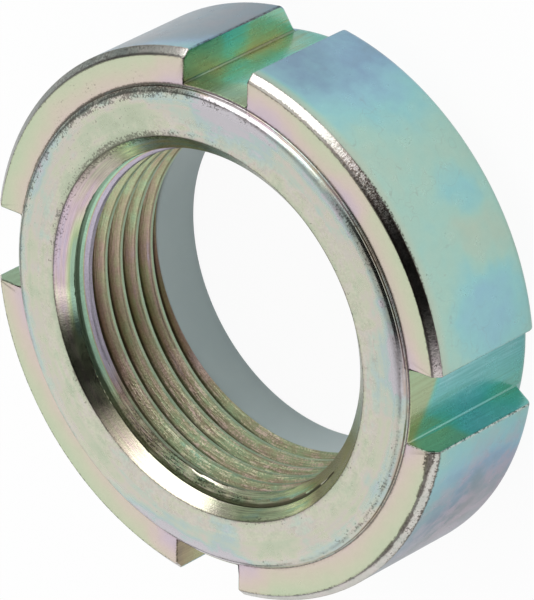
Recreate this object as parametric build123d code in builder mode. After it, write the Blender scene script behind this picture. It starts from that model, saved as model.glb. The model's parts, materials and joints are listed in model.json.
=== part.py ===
# Self-locking slotted round nut: a turned steel body with four spanner slots, and a polyamide
# locking ring behind the thread, held by the thin back collar that is rolled in over it.
# Millimetres. The origin is the middle of the rolled collar's underside, on the thread axis,
# and +Z runs along that axis to the front bearing face.
import os

from build123d import *

# Thread, metric with the fine pitch that this size of nut has
thread_major_radius = 12.5
thread_pitch = 1.5
# The crests of an internal metric thread stand this share of the pitch inside its major radius
crest_share = 0.5413

# Toothed rim, whose back slopes down to the rolled collar
outer_radius = 19.0
rim_height = 9.69
front_chamfer = 0.5
back_slope_rise = 1.33
back_edge_chamfer = 0.4

# Spanner slots, milled along the rim down to the level of the rolled collar
slot_count = 4
slot_width = 5.3
slot_depth = 2.3
slot_corner_round = 0.15

# Front bearing collar, which leaves a narrow strip of the rim's face inside the slots
bearing_height = 0.53
bearing_strip = 0.23
bearing_edge_round = 0.4

# Countersunk mouth of the thread
mouth_margin = 0.7
mouth_angle = 90

# Thin collar at the back, rolled in over the locking ring. Inside its round corner, the lip
# covers this share of the ring's flat back
rolled_height = 1.45
rolled_wall = 0.9
rolled_round = 1.4
lip_cover = 0.394
lip_edge_chamfer = 0.3

# Locking ring
ring_height = 3.7
ring_bite = 0.5
ring_recess = 0.27
ring_clearance = 0.05
ring_edge_chamfer = 0.2

# Levels and radii worked out from the sizes above
back_edge_z = rolled_height + back_slope_rise
front_face_z = back_edge_z + rim_height
bearing_z = front_face_z + bearing_height
slot_floor_radius = outer_radius - slot_depth
bearing_radius = slot_floor_radius - bearing_strip
bore_radius = thread_major_radius - crest_share * thread_pitch
mouth_radius = thread_major_radius + mouth_margin
pocket_radius = slot_floor_radius - rolled_wall
pocket_corner = rolled_round - rolled_wall
ring_back_z = ring_recess
ring_front_z = ring_back_z + ring_height
ring_bore_radius = thread_major_radius - ring_bite
ring_flat_radius = pocket_radius - pocket_corner
lip_radius = ring_flat_radius - lip_cover * (ring_flat_radius - ring_bore_radius)

# Two lengths that differ by less than this are the same
same_length = 0.001


def circles(shape, height, radius):
    """Circular edges of the shape that lie at this height and have this radius."""
    return shape.edges().filter_by(GeomType.CIRCLE).filter_by(
        lambda edge: abs(edge.center().Z - height) < same_length
        and abs(edge.radius - radius) < same_length
    )


def pocket_section(inner_radius, back_z, clearance):
    """Half section of the space behind the thread, from the opening in the lip to the ring's seat.

    The same outline cuts the pocket in the steel, with no clearance, and makes the ring that fills it.
    """
    neck_radius = lip_radius - clearance
    wall_radius = pocket_radius - clearance
    lip_inner_z = rolled_wall + clearance
    with BuildSketch(Plane.XZ) as section:
        with BuildLine():
            Polyline(
                (inner_radius, back_z),
                (neck_radius, back_z),
                (neck_radius, lip_inner_z),
                (wall_radius - pocket_corner, lip_inner_z),
                (wall_radius, lip_inner_z + pocket_corner),
                (wall_radius, ring_front_z),
                (inner_radius, ring_front_z),
                close=True,
            )
        make_face()
    return section.sketch


# Steel body
with BuildPart() as nut_body:
    # Turned blank: rolled collar, toothed rim and bearing collar
    with BuildSketch(Plane.XZ):
        with BuildLine():
            Polyline(
                (0, 0),
                (slot_floor_radius, 0),
                (slot_floor_radius, rolled_height),
                (outer_radius, back_edge_z),
                (outer_radius, front_face_z),
                (bearing_radius, front_face_z),
                (bearing_radius, bearing_z),
                (0, bearing_z),
                close=True,
            )
        make_face()
    revolve(axis=Axis.Z)
    fillet(circles(nut_body, 0, slot_floor_radius), radius=rolled_round)
    fillet(circles(nut_body, bearing_z, bearing_radius), radius=bearing_edge_round)
    chamfer(circles(nut_body, front_face_z, outer_radius), length=front_chamfer)
    chamfer(circles(nut_body, back_edge_z, outer_radius), length=back_edge_chamfer)

    # Spanner slots: parallel walls, rounded corners and a floor concentric with the rim
    with BuildSketch(Plane.XY.offset(rolled_height)) as slots:
        with PolarLocations(outer_radius, slot_count):
            Rectangle(3 * slot_depth, slot_width)
        Circle(slot_floor_radius, mode=Mode.SUBTRACT)
        floor_corners = slots.vertices().filter_by(
            lambda corner: Vector(corner.X, corner.Y).length < slot_floor_radius + same_length
        )
        fillet(floor_corners, radius=slot_corner_round)
    extrude(amount=back_slope_rise + rim_height, mode=Mode.SUBTRACT)

    # Thread bore at the crests, with its countersunk mouth in the bearing face
    with Locations((0, 0, bearing_z)):
        CounterSinkHole(
            radius=bore_radius,
            counter_sink_radius=mouth_radius,
            counter_sink_angle=mouth_angle,
        )

    # Pocket for the ring, open at the back inside the rolled lip
    revolve(pocket_section(0, 0, 0), axis=Axis.Z, mode=Mode.SUBTRACT)
    lip_edges = circles(nut_body, 0, lip_radius) + circles(nut_body, rolled_wall, lip_radius)
    chamfer(lip_edges, length=lip_edge_chamfer)
nut_body.part.label = "nut_body"

# Polyamide ring: fills the pocket and the opening in the lip, and has a plain bore that is
# smaller than the thread's major radius, so that the shaft's thread bites into it
with BuildPart() as locking_ring:
    revolve(pocket_section(ring_bore_radius, ring_back_z, ring_clearance), axis=Axis.Z)
    bore_edges = circles(locking_ring, ring_back_z, ring_bore_radius) + circles(
        locking_ring, ring_front_z, ring_bore_radius
    )
    chamfer(bore_edges, length=ring_edge_chamfer)
locking_ring.part.label = "locking_ring"

os.makedirs("parts", exist_ok=True)
export_step(nut_body.part, "parts/nut_body.step")
export_step(locking_ring.part, "parts/locking_ring.step")
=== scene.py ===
"""Self-locking slotted round nut: a plated steel body with a cut thread, and its polyamide ring."""
import json
import logging
import math
from collections.abc import Callable
from dataclasses import dataclass, field
from enum import Enum
from typing import Union

import bmesh
import bpy
from mathutils import Matrix, Vector

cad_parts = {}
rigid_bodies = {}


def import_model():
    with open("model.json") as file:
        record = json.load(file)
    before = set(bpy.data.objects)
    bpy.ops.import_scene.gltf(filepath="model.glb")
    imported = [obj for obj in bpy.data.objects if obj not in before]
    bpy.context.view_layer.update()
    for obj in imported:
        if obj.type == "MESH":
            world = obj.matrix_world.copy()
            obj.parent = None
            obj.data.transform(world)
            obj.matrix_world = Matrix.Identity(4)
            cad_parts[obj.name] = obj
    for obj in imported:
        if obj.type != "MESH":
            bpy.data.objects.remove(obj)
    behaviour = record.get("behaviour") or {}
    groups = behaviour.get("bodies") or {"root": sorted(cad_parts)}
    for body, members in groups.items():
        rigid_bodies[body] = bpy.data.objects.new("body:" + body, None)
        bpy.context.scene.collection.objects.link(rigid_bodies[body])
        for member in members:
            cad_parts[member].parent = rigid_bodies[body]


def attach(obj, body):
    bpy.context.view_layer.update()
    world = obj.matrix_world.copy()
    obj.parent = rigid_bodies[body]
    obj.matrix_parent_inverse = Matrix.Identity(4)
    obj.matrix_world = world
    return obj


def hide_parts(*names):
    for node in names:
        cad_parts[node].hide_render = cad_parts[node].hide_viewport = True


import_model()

log = logging.getLogger("round_nut")

MM = 0.001
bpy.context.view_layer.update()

# Sizes in millimetres that the meshes and the finish share
OUTER_RADIUS = 19.0
FRONT_FACE = 12.47
SLOT_WIDTH = 5.3
BEARING_TOP = 13.0
MOUTH_RADIUS = 13.2
THREAD_PITCH = 1.5
THREAD_FOOT = 3.97
# Share of a turn by which the thread's start is turned
THREAD_START = 0.813
# Clouds push the places of patches about by up to this many millimetres
WARP = 2.4

Colour = tuple[float, float, float]
Stops = tuple[tuple[float, int, int, int], ...]
Value = Union["Signal", float]
Tint = Union["Signal", Colour]
Profile = list[tuple[float, float]]


def srgb(red: int, green: int, blue: int) -> Colour:
    """Returns the linear colour that a screen shows as these 0 to 255 values."""
    shares = (red / 255, green / 255, blue / 255)
    return tuple(v / 12.92 if v <= 0.04045 else ((v + 0.055) / 1.055) ** 2.4 for v in shares)


def arc(centre: tuple[float, float], radius: float, start: float, end: float, steps: int) -> Profile:
    """Lists points on a circular arc in a half section.

    Args:
        centre: Radius and height of the arc's centre.
        radius: The arc's own radius.
        start: First angle in degrees, measured from the outward direction.
        end: Last angle in degrees.
        steps: Number of chords.

    Returns:
        The radius and height of each point, both ends included.
    """
    angles = [math.radians(start + (end - start) * i / steps) for i in range(steps + 1)]
    return [(centre[0] + radius * math.cos(a), centre[1] + radius * math.sin(a)) for a in angles]


class Surface(Enum):
    """The kinds of surface on the steel body, as the number that its faces carry."""

    BEARING_FACE = 1
    COLLAR_SIDE = 2
    FRONT_FACE = 3
    CHAMFER = 4
    RIM = 5
    SLOT_WALL = 6
    SLOT_FLOOR = 7
    BACK = 8
    THREAD = 9
    MOUTH = 10


class Edge(Enum):
    """The turned edges that the finish darkens, each as its radius and height in millimetres."""

    CHAMFER_INNER = (18.54, 12.43)
    CHAMFER_OUTER = (OUTER_RADIUS, 11.97)
    MOUTH = (MOUTH_RADIUS, BEARING_TOP)
    SHOULDER = (16.22, 12.95)
    # A crease, whose dark line is painted shade
    FOOT = (16.58, FRONT_FACE)


def overload(operation: str, reflected: bool = False) -> Callable[["Signal", Value], "Signal"]:
    """Makes the method behind a Python operator.

    Args:
        operation: The Math node's operation.
        reflected: Whether the other value comes first, as in 1 - signal.

    Returns:
        The method, which adds a Math node with the two values.
    """

    def method(self: "Signal", other: Value) -> "Signal":
        """Adds the node."""
        return self.graph.math(operation, *((other, self) if reflected else (self, other)))

    return method


class Signal:
    """A socket's value, which Python operators join to others through Math nodes.

    A comparison gives 1 where it is true, else 0.
    """

    def __init__(self, graph: "Graph", socket: bpy.types.NodeSocket) -> None:
        """Keeps the tree that the value belongs to and the socket that gives it."""
        self.graph = graph
        self.socket = socket

    def math(self, operation: str, *others: Value) -> "Signal":
        """Adds a Math node whose first value is this one."""
        return self.graph.math(operation, self, *others)

    __add__ = __radd__ = overload("ADD")
    __mul__ = __rmul__ = overload("MULTIPLY")
    __sub__, __rsub__ = overload("SUBTRACT"), overload("SUBTRACT", True)
    __truediv__, __rtruediv__ = overload("DIVIDE"), overload("DIVIDE", True)
    __gt__, __lt__ = overload("GREATER_THAN"), overload("LESS_THAN")

    def off(self, number: float) -> "Signal":
        """How far this value is from a number."""
        return (self - number).math("ABSOLUTE")

    def smooth(self, low: float, high: float) -> "Signal":
        """Steps up smoothly from 0 to 1.

        Args:
            low: The value up to which the result is 0.
            high: The value from which it is 1.

        Returns:
            The result.
        """
        inputs = {"Value": self, "From Min": low, "From Max": high}
        made = self.graph.node("ShaderNodeMapRange", {"interpolation_type": "SMOOTHSTEP"}, inputs)
        return self.graph.out(made)


class Graph:
    """A node tree and the one way in which this file adds nodes to it."""

    def __init__(self, tree: bpy.types.NodeTree) -> None:
        """Keeps the tree."""
        self.tree = tree

    def node(self, kind: str, settings: dict | None = None, inputs: dict | None = None) -> bpy.types.Node:
        """Adds a node.

        Args:
            kind: The node's type name.
            settings: Its options, set first. "stops" are the positions and screen colours of a ramp.
            inputs: A value or a link for each socket, by name or number.

        Returns:
            The new node.
        """
        made = self.tree.nodes.new(kind)
        for name, value in (settings or {}).items():
            if name == "stops":
                self._set_stops(made.color_ramp.elements, value)
            else:
                setattr(made, name, value)
        self.feed(made, inputs or {})
        return made

    def feed(self, made: bpy.types.Node, inputs: dict) -> None:
        """Sets or links a node's sockets.

        Args:
            made: The node.
            inputs: A value or a link for each socket, by name or number.
        """
        for name, value in inputs.items():
            if isinstance(value, Signal):
                self.tree.links.new(value.socket, made.inputs[name])
            else:
                made.inputs[name].default_value = value

    @staticmethod
    def _set_stops(elements: bpy.types.ColorRampElements, stops: Stops) -> None:
        """Gives a ramp new stops.

        Args:
            elements: The ramp's own stops.
            stops: The new ones, with screen colours.
        """
        while len(elements) > 1:
            elements.remove(elements[-1])
        elements[0].position, elements[0].color = stops[0][0], (*srgb(*stops[0][1:]), 1)
        for position, *screen in stops[1:]:
            elements.new(position).color = (*srgb(*screen), 1)

    def out(self, made: bpy.types.Node, output: str | int = 0) -> Signal:
        """Returns one output of a node as a value for formulas."""
        return Signal(self, made.outputs[output])

    def math(self, operation: str, *values: Value) -> Signal:
        """Adds a Math node with these values."""
        return self.out(self.node("ShaderNodeMath", {"operation": operation}, dict(enumerate(values))))

    def vector(self, operation: str, inputs: dict, output: str | int = 0) -> Signal:
        """Adds a Vector Math node."""
        return self.out(self.node("ShaderNodeVectorMath", {"operation": operation}, inputs), output)

    def blend(self, factor: Value, first: Tint, second: Tint) -> Signal:
        """Mixes two colours.

        Args:
            factor: The second colour's share.
            first: One colour.
            second: The other colour.

        Returns:
            The mixture.
        """
        inputs = {0: factor}
        for number, colour in ((6, first), (7, second)):
            inputs[number] = colour if isinstance(colour, Signal) else (*colour, 1)
        return self.out(self.node("ShaderNodeMix", {"data_type": "RGBA"}, inputs), 2)

    def place(self) -> Signal:
        """Where a point is on its object, in millimetres."""
        place = self.out(self.node("ShaderNodeTexCoord"), "Object")
        return self.vector("MULTIPLY", {0: place, 1: (1 / MM,) * 3})

    def noise(self, place: Signal, scale: float, detail: float = 3.0, roughness: float = 0.55,
              output: str = "Fac") -> Signal:
        """Cloudy value around 0.5 at this place."""
        inputs = {"Vector": place, "Scale": scale, "Detail": detail, "Roughness": roughness}
        return self.out(self.node("ShaderNodeTexNoise", None, inputs), output)

    def bump(self, height: Signal, distance: float, strength: float) -> Signal:
        """Tilts the normal by a height field whose full range is this distance in metres."""
        inputs = {"Height": height, "Distance": distance, "Strength": strength}
        return self.out(self.node("ShaderNodeBump", None, inputs))


def new_material(name: str) -> tuple[bpy.types.Material, Graph]:
    """Adds a material with nodes.

    Args:
        name: The material's name.

    Returns:
        The material and the graph of its tree.
    """
    made = bpy.data.materials.new(name)
    made.use_nodes = True
    return made, Graph(made.node_tree)


def hypot(first: Signal, second: Signal) -> Signal:
    """Returns the length of two sides at a right angle."""
    return (first * first + second * second).math("SQRT")


@dataclass(frozen=True)
class Patch:
    """A soft patch around one place, in millimetres and degrees, in which a value is raised or lowered."""

    azimuth: float
    radius: float
    height: float
    reach: float
    change: float


def ringed(radius: float, height: float, *rows: tuple[float, float, float]) -> tuple[Patch, ...]:
    """Makes patches at one radius and height, each from its azimuth, reach and change."""
    return tuple(Patch(azimuth, radius, height, reach, change) for azimuth, reach, change in rows)


class Ground:
    """What every part of the steel's finish reads at a point.

    The radius and height are in millimetres, the slot offset is the signed distance from the middle plane
    of the nearest slot, and the turn is the share of a turn from +X. Each noise is around 0.5: broad, cloud,
    patchy and grain get finer in this order, mottle and rings run round the axis, and lines run along it.
    """

    def __init__(self, graph: Graph) -> None:
        """Works the place out from Object coordinates and adds the noises.

        Args:
            graph: The material's tree.
        """
        self.graph = graph
        self.kind = graph.out(graph.node("ShaderNodeAttribute", {"attribute_name": "surface"}), "Fac")
        at = graph.place()
        parts = graph.node("ShaderNodeSeparateXYZ", None, {0: at})
        x, y, self.height = (graph.out(parts, axis) for axis in "XYZ")
        self.radius = (x * x + y * y).math("SQRT")
        self.turn = y.math("ARCTAN2", x) / math.tau
        beside_y = x.math("ABSOLUTE") < y.math("ABSOLUTE")
        self.slot_offset = x * beside_y + y * (1 - beside_y)
        push = graph.noise(at, 0.45, 2.0, 0.6, "Color")
        self.warped = graph.vector("MULTIPLY_ADD", {0: push, 1: (WARP,) * 3, 2: at})
        self.broad = graph.noise(at, 0.13, 1.0)
        self.cloud = graph.noise(at, 0.42, 2.5, 0.6)
        self.patchy = graph.noise(at, 1.1, 3.0, 0.6)
        self.grain = graph.noise(at, 6.5, 3.0, 0.7)
        # Changes slowly round the axis and fast across it
        inputs = {"X": x / self.radius * 3.5, "Y": y / self.radius * 3.5,
                  "Z": (self.radius * 1.3 + self.height) * 4.0}
        around = graph.out(graph.node("ShaderNodeCombineXYZ", None, inputs))
        self.mottle = graph.noise(around, 0.45, 2.0)
        self.rings = graph.noise(around, 2.0, 2.0, 0.6)
        along = graph.vector("MULTIPLY", {0: at, 1: (6.0, 6.0, 0.22)})
        self.lines = graph.noise(along, 1.0, 3.0, 0.65)

    def on(self, *surfaces: Surface) -> Signal:
        """Picks kinds of surface.

        Args:
            surfaces: One kind of surface or more.

        Returns:
            1 on these kinds, else 0.
        """
        mask = self.kind.off(surfaces[0].value) < 0.5
        for surface in surfaces[1:]:
            mask = mask.math("MAXIMUM", self.kind.off(surface.value) < 0.5)
        return mask

    def felt(self, *patches: Patch) -> Signal:
        """Adds up what patches do at this place.

        Args:
            patches: One patch or more.

        Returns:
            The sum of their changes. Each is whole over the inner third of the patch's reach and falls to
            none, with an uneven border.
        """
        changes = []
        for patch in patches:
            turn, push = math.radians(patch.azimuth), WARP / 2
            centre = (patch.radius * math.cos(turn) + push, patch.radius * math.sin(turn) + push,
                      patch.height + push)
            distance = self.graph.vector("DISTANCE", {0: self.warped, 1: centre}, "Value")
            changes.append((1.0 - distance.smooth(patch.reach * 0.3, patch.reach)) * patch.change)
        return sum(changes[1:], changes[0])

    def edge(self, edge: Edge) -> Signal:
        """Distance from a turned edge."""
        radius, height = edge.value
        return hypot(self.radius - radius, self.height - height)

    def slot_edge(self) -> Signal:
        """Measures how far the nearest edge of a slot's walls is, on the rim or on its front face.

        Returns:
            The distance in millimetres, and a large one inside the teeth.
        """
        front, rim, teeth_start, far = 12.45, 18.95, 16.4, 9.0
        beside = self.slot_offset.math("ABSOLUTE") - SLOT_WIDTH / 2
        nearest = hypot(beside, self.height - front).math("MINIMUM", hypot(beside, self.radius - rim))
        return nearest + (self.radius < teeth_start) * far

    def crest_line(self) -> Signal:
        """1 on the lower part of the thread's crests, which shows as a thin line, else 0."""
        phase = ((self.height - THREAD_FOOT) / THREAD_PITCH - self.turn + THREAD_START).math("FRACT")
        return phase.smooth(0.36, 0.39) * (1.0 - phase.smooth(0.50, 0.56))

    def first_groove(self) -> Signal:
        """1 on the first groove and crest under the mouth, fading out towards the run-in, else 0."""
        first = (self.height - self.turn * THREAD_PITCH).smooth(10.72, 10.80)
        return first * (1.0 - self.turn.smooth(0.09, 0.15))


@dataclass(frozen=True)
class Film:
    """The iridescent film on some kinds of surface.

    The stops are the colours that it runs through as it gets thicker. Base is its plain thickness, and the
    next four say how much each noise changes it.
    """

    surfaces: tuple[Surface, ...]
    stops: Stops
    base: float
    broad: float
    cloud: float
    mottle: float
    blotch: float
    roughness: float
    patches: tuple[Patch, ...]


@dataclass(frozen=True)
class PlatedSteel:
    """Zinc-plated steel under an iridescent passivation film, specked and worn at its edges, with painted
    glints, highlights, reflections and shade.
    """

    name: str = "plated_steel_finish"
    bare: Colour = (0.6, 0.62, 0.6)
    bare_roughness: float = 0.25
    speck_and_shade: Colour = srgb(62, 56, 50)
    edge_brown: Colour = srgb(108, 92, 78)
    bronze: Colour = srgb(180, 160, 144)
    groove_shade: Colour = srgb(62, 66, 44)
    pink_spot: Colour = srgb(190, 172, 186)
    burnt_brown: Colour = srgb(128, 92, 80)
    cream_glint: Colour = srgb(255, 250, 220)
    pink_glint: Colour = srgb(250, 226, 218)
    crest_highlight: Colour = srgb(208, 220, 190)
    burr_and_highlight: Colour = srgb(232, 236, 230)
    vein: Colour = srgb(150, 122, 122)
    films: tuple[Film, ...] = (
        Film(
            (Surface.BEARING_FACE, Surface.COLLAR_SIDE),
            ((0.0, 187, 196, 172), (0.2, 193, 201, 178), (0.38, 203, 204, 184), (0.52, 206, 200, 190),
             (0.66, 194, 203, 189), (0.84, 181, 199, 196), (1.0, 198, 194, 199)),
            base=0.40, broad=0.5, cloud=1.0, mottle=0.7, blotch=0.55, roughness=0.29,
            patches=(Patch(-98, 14.7, 13, 5.0, 0.40), Patch(86, 15.0, 13, 9.0, 0.26),
                     Patch(-172, 15.7, 13, 4.0, 0.2)),
        ),
        Film(
            (Surface.FRONT_FACE,),
            ((0.0, 195, 206, 177), (0.25, 203, 205, 180), (0.45, 209, 201, 183), (0.65, 213, 198, 188),
             (0.85, 210, 193, 196), (1.0, 205, 190, 200)),
            base=0.38, broad=0.2, cloud=0.4, mottle=0.1, blotch=0.1, roughness=0.24,
            patches=(Patch(-28, 17.6, 12.5, 4.0, -0.15), *ringed(
                17.4, 12.5, (-102, 5.5, 0.42), (-131, 2.2, 0.3), (-173, 3.0, 0.35), (-80, 3.2, 0.3),
                (100, 2.8, 0.35), (81, 2.8, 0.4), (14, 4.5, 0.3), (173, 3.0, 0.35))),
        ),
        Film(
            (Surface.CHAMFER,),
            ((0.0, 132, 144, 140), (0.35, 176, 182, 174), (0.7, 206, 203, 196), (1.0, 212, 200, 202)),
            base=0.66, broad=0.2, cloud=0.4, mottle=0.4, blotch=0.7, roughness=0.22,
            # The first patch darkens the film on the chamfer's far side, painted shade
            patches=ringed(18.7, 12.2, (-50, 12.0, -0.4), (-168, 3.5, 0.3)),
        ),
        Film(
            (Surface.RIM, Surface.BACK),
            ((0.0, 168, 163, 168), (0.1, 154, 161, 170), (0.2, 140, 163, 175), (0.34, 146, 178, 202),
             (0.46, 156, 200, 213), (0.58, 158, 209, 210), (0.74, 174, 211, 199), (0.88, 185, 207, 191),
             (1.0, 193, 201, 184)),
            base=0.74, broad=0.1, cloud=0.24, mottle=0.05, blotch=0.07, roughness=0.25,
            patches=(
                Patch(-165, 19.0, 6.5, 5.0, -0.26), Patch(20, 19.0, 7.0, 9.0, -0.3),
                Patch(151, 19.0, 10.5, 4.8, 0.18),
                *ringed(19.0, 6.0, (-100, 10, -0.37), (-62, 12, -0.58), (138, 14, -0.6), (78, 8, -0.4)),
                *ringed(19.0, 5.5, (-140, 2.6, -0.16), (-149, 3.2, 0.13))),
        ),
        Film(
            (Surface.SLOT_WALL, Surface.SLOT_FLOOR),
            ((0.0, 140, 124, 118), (0.1, 176, 162, 132), (0.22, 190, 192, 150), (0.36, 166, 196, 162),
             (0.5, 142, 202, 184), (0.65, 130, 201, 192), (0.8, 132, 198, 198), (1.0, 156, 206, 208)),
            base=0.78, broad=0.1, cloud=0.24, mottle=0.05, blotch=0.1, roughness=0.26,
            patches=(Patch(-90, 17.5, 7.0, 9.0, -0.3), Patch(8, 17.8, 9.0, 6.5, -0.4),
                     Patch(82, 17.8, 9.0, 6.5, -0.9), Patch(-90, 16.9, 6.0, 2.6, 0.2),
                     Patch(-82, 18.2, 7.5, 2.4, 0.22), Patch(171, 18.2, 6.0, 3.6, 0.3)),
        ),
        Film(
            (Surface.MOUTH,),
            ((0.0, 146, 180, 164), (0.14, 166, 184, 146), (0.3, 188, 198, 162), (0.5, 200, 198, 176),
             (0.68, 202, 188, 180), (0.85, 202, 182, 190), (1.0, 196, 182, 196)),
            base=0.42, broad=0.1, cloud=0.4, mottle=0.7, blotch=0.1, roughness=0.17,
            patches=ringed(12.8, 12.7, (-12, 9.0, 0.45), (-75, 7.0, -0.35), (75, 7.0, 0.1), (118, 6.0, -0.3)),
        ),
        Film(
            (Surface.THREAD,),
            ((0.0, 170, 208, 182), (0.2, 182, 200, 160), (0.4, 186, 182, 148), (0.65, 190, 166, 150),
             (0.85, 190, 168, 168), (1.0, 190, 182, 198)),
            base=0.6, broad=0.2, cloud=0.6, mottle=0.9, blotch=0.5, roughness=0.32,
            patches=(Patch(-35, 12.0, 9.0, 8.0, -0.3), Patch(90, 12.0, 8.5, 13.0, -0.32)),
        ),
    )
    olive: tuple[Patch, ...] = (
        Patch(82, 17.8, 13.2, 3.6, -0.16), Patch(8, 17.8, 10.0, 6.5, 0.09), Patch(-91, 16.7, 10.8, 3.2, 0.13),
    )
    # Painted light and shade: brighter and darker reflections, patch by patch on each kind of surface
    painted_light_patches: tuple[tuple[Surface, tuple[Patch, ...]], ...] = (
        (Surface.CHAMFER, ringed(18.8, 12.2, (-150, 7.0, -0.85), (-25, 11.0, -0.45))),
        (Surface.MOUTH, ringed(12.9, 12.7, (-69, 4.4, 1.5), (18, 3.4, 0.75), (46, 3.6, 0.7),
                               (149, 9.0, 1.15), (-44, 3.6, -0.25))),
        (Surface.RIM, (Patch(-72, 19.0, 7.0, 11.0, -0.18), Patch(145, 19.0, 10.2, 7.0, -0.38),
                       Patch(-101, 19.0, 9.5, 5.0, -0.15))),
        (Surface.SLOT_WALL, (Patch(-82, 17.8, 7.2, 3.4, 0.22), Patch(8, 17.8, 10.0, 6.0, -0.24))),
    )
    turned_lines: tuple[Patch, ...] = ringed(12.9, 12.7, (113, 7.5, 1.3), (-76, 7.0, 1.1))
    rough_thread: Patch = Patch(78, 12.1, 9.6, 12.0, 1.0)
    burnt: Patch = Patch(50, 12.8, 12.6, 3.4, 1.0)
    pink: Patch = Patch(148, 19.0, 5.5, 10.0, 1.0)
    rusty: Patch = Patch(-129, 18.8, 12.2, 4.0, 1.0)
    heavy_line: Patch = Patch(158, 18.6, 12.4, 9.0, 0.09)
    bold_line: Patch = Patch(-118, 18.6, 12.4, 11.0, 0.05)
    nick: Patch = Patch(172, 18.7, 12.3, 1.7, 0.26)
    fuzzy: tuple[Patch, ...] = ringed(19.0, 12.0, (-143, 7.0, 0.16), (163, 8.0, 0.11))
    burred: Patch = Patch(172, 19.0, 7.0, 7.5, 1.0)
    specked: Patch = Patch(-50, 14.8, 13.0, 8.5, 0.07)
    grit: tuple[Patch, ...] = (
        *ringed(18.8, 12.2, (-134, 3.5, 0.12), (-166, 4.0, 0.14), (-65, 8.0, 0.05), (150, 9.0, 0.08)),
        *ringed(16.1, 12.9, (-142, 6.0, 0.12), (160, 11.0, 0.05)),
        *ringed(16.2, 12.9, (-60, 9.0, 0.11), (-10, 8.0, 0.08), (-96, 4.5, 0.11)),
        *ringed(13.3, 12.9, (-30, 8.0, 0.11), (-76, 6.0, 0.08)),
        Patch(110, 13.2, 12.9, 5.0, 0.10), Patch(35, 13.1, 12.8, 3.0, 0.16),
        Patch(-125, 13.3, 13.0, 3.0, 0.06),
    )

    def _thickness(self, ground: Ground, film: Film) -> Signal:
        """Formula for a film's thickness.

        Args:
            ground: The place and the noises.
            film: The film.

        Returns:
            A value that runs through the film's stops, about 0 to 1.
        """
        height, radius, turn = ground.height, ground.radius, ground.turn
        thickness = (ground.broad - 0.5) * (film.broad * 2) + (ground.cloud - 0.5) * film.cloud + film.base
        thickness = thickness + (ground.mottle - 0.5) * film.mottle + (ground.patchy - 0.5) * film.blotch
        thickness = thickness + ground.felt(*film.patches)
        if Surface.RIM in film.surfaces:
            strip = height.smooth(11.0, 11.9) * (turn < -0.25)
            thickness = thickness + strip * (0.96 - thickness) * 0.85
        if Surface.FRONT_FACE in film.surfaces:
            thickness = thickness + (17.45 - radius) * 0.32
        if Surface.SLOT_WALL in film.surfaces:
            wall = radius.smooth(16.85, 17.05)
            front = (height - ground.slot_offset * 0.6 + wall * 3.2).smooth(9.8, 10.9)
            thickness = thickness - ground.slot_offset * 0.1 + (radius - 16.8) * 0.05
            thickness = thickness + (ground.lines - 0.5) * 0.4
            olive = wall * 0.08 + 0.16 + ground.felt(*self.olive)
            thickness = thickness * (1.0 - front * 0.85) + front * olive
        if Surface.MOUTH in film.surfaces:
            fringe = 1.0 - (radius - turn).smooth(12.35, 12.75)
            fringe = fringe * turn.smooth(-0.08, -0.02) * (1.0 - turn.smooth(0.05, 0.10))
            thickness = thickness * (1.0 - fringe * 0.95)
        if Surface.THREAD in film.surfaces:
            thickness = thickness * (1.0 - ground.crest_line() * 0.85)
            groove = (12.04 - radius).smooth(0.0, 0.12)
            thickness = thickness + ground.first_groove() * (groove - thickness)
        if Surface.BEARING_FACE in film.surfaces:
            thickness = thickness + (radius - 14.6) * 0.08 + radius.smooth(15.3, 15.9) * 0.2
        return thickness

    def _shade(self, ground: Ground, rough_zone: Signal) -> Signal:
        """Formula for how much brighter or darker than its film the metal looks: random tone, turning and
        milling lines, and painted light and shade in patches, in the slots and in the first groove.

        Args:
            ground: The place and the noises.
            rough_zone: 1 on the rough part of the thread.

        Returns:
            A factor around 1.
        """
        height, patchy, grain = ground.height, ground.patchy - 0.5, ground.grain - 0.5
        lines, rings = ground.lines - 0.5, ground.rings - 0.5
        thread, mouth, wall = (ground.on(kind) for kind in (Surface.THREAD, Surface.MOUTH, Surface.SLOT_WALL))
        floor = ground.on(Surface.SLOT_FLOOR)
        shade = 1.0 + patchy * 0.12 + grain * (0.10 + thread * 0.6)
        shade = shade + ground.on(Surface.BEARING_FACE) * (patchy * 0.2 + grain * 0.35)
        shade = shade + (wall + floor) * lines * 0.6 + (mouth + thread) * rings * 0.6
        # Painted light: the slot walls lighter towards the back and a little darker at the front
        shade = shade + wall * (0.25 - height.smooth(3.0, 7.0) * 0.2 - height.smooth(7.6, 9.2) * 0.1)
        # Painted shade in the top slot's fillets and on the front of its floor
        at_top = ground.turn.off(-0.25) < 0.1
        fillet = ground.slot_offset.math("ABSOLUTE").smooth(2.46, 2.54) * (ground.radius < 16.86)
        shade = shade - at_top * ((wall + floor) * fillet * 0.35 + floor * height.smooth(10.0, 11.6) * 0.3)
        # Painted light and shade in patches
        for surface, patches in self.painted_light_patches:
            shade = shade + ground.on(surface) * ground.felt(*patches)
        shade = shade + mouth * ground.felt(*self.turned_lines) * rings
        # Painted shade in the first groove under the mouth, with dark specks that break up the highlight
        # there
        upper = rough_zone * height.smooth(10.5, 10.9)
        shade = shade - upper * (height.smooth(10.9, 11.3) * 0.4 + ground.grain.smooth(0.42, 0.58) * 0.6)
        return shade.math("MAXIMUM", 0.12)

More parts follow.
